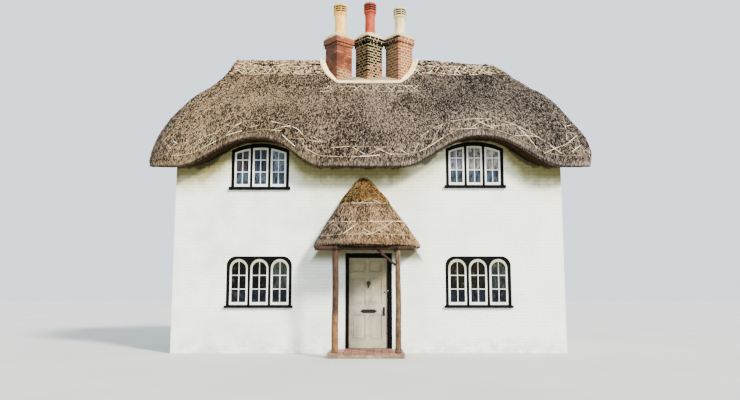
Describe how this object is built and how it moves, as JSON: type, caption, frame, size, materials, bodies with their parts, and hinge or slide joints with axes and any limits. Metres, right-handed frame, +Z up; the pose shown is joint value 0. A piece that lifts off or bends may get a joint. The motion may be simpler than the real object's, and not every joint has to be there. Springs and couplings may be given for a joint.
{
  "type": "thatched cottage",
  "caption": "Two-storey thatched cottage with painted walls, eyebrow eaves over the upper windows, corner-set brick stacks, a hinged front door and a small thatched porch on poles.",
  "frame": {"origin": "on the ground, in the middle of the rectangle of the main walls", "axes": "+Z up, the front faces -Y, +X to the right as seen from the front"},
  "size_m": [10.1303, 6.2333, 9.0323],
  "materials": {
    "painted_wall": "limewashed masonry, slightly uneven",
    "thatch": "weathered straw thatch, matt",
    "brick": "soft red brick with pale lime joints",
    "cement": "rough trowelled cement",
    "cream_clay": "unglazed cream clay",
    "red_clay": "unglazed red clay",
    "buff_clay": "unglazed pale buff clay",
    "black_paint": "black gloss paint on timber",
    "cream_paint": "cream satin paint on timber",
    "black_iron": "black painted iron",
    "window_glass": "clear panes",
    "bare_pole": "peeled tree trunk, satin",
    "floor_timber": "plain boards and joists",
    "quarry_tile": "worn red-brown tile",
    "concrete": "plain"
  },
  "bodies": {
    "house": {"floor_slab": "concrete", "upper_floor": "floor_timber", "front_wall_left": "painted_wall", "front_wall_right": "painted_wall", "front_wall_over_door": "painted_wall", "back_wall": "painted_wall", "left_wall": "painted_wall", "right_wall": "painted_wall", "upper_left_window": "black_paint", "upper_left_glass": "window_glass", "back_upper_left_window": "black_paint", "back_upper_left_glass": "window_glass", "upper_right_window": "black_paint", "upper_right_glass": "window_glass", "back_upper_right_window": "black_paint", "back_upper_right_glass": "window_glass", "lower_left_window": "black_paint", "lower_left_glass": "window_glass", "back_lower_left_window": "black_paint", "back_lower_left_glass": "window_glass", "lower_right_window": "black_paint", "lower_right_glass": "window_glass", "back_lower_right_window": "black_paint", "back_lower_right_glass": "window_glass", "door_frame": "black_paint", "front_thatch": "thatch", "back_thatch": "thatch", "left_hip_thatch": "thatch", "right_hip_thatch": "thatch", "left_ridge_cap": "thatch", "right_ridge_cap": "thatch", "chimney_breast": "brick", "left_stack": "brick", "middle_stack": "brick", "right_stack": "brick", "left_pot": "cream_clay", "middle_pot": "red_clay", "right_pot": "buff_clay", "chimney_base": "cement", "porch_thatch": "thatch", "porch_post_left": "bare_pole", "porch_post_right": "bare_pole", "porch_frame": "bare_pole", "porch_floor": "quarry_tile"},
    "front_door": {"front_door": "cream_paint", "door_knocker": "black_iron", "letter_plate": "black_iron", "door_handle": "black_iron"}
  },
  "joints": [
    {"name": "front_door_hinge", "type": "hinge", "parent": "house", "child": "front_door", "pos_m": [-0.4525, -2.091, 1.1], "axis": [0, 0, 1], "range_deg": [0, 95]}
  ]
}
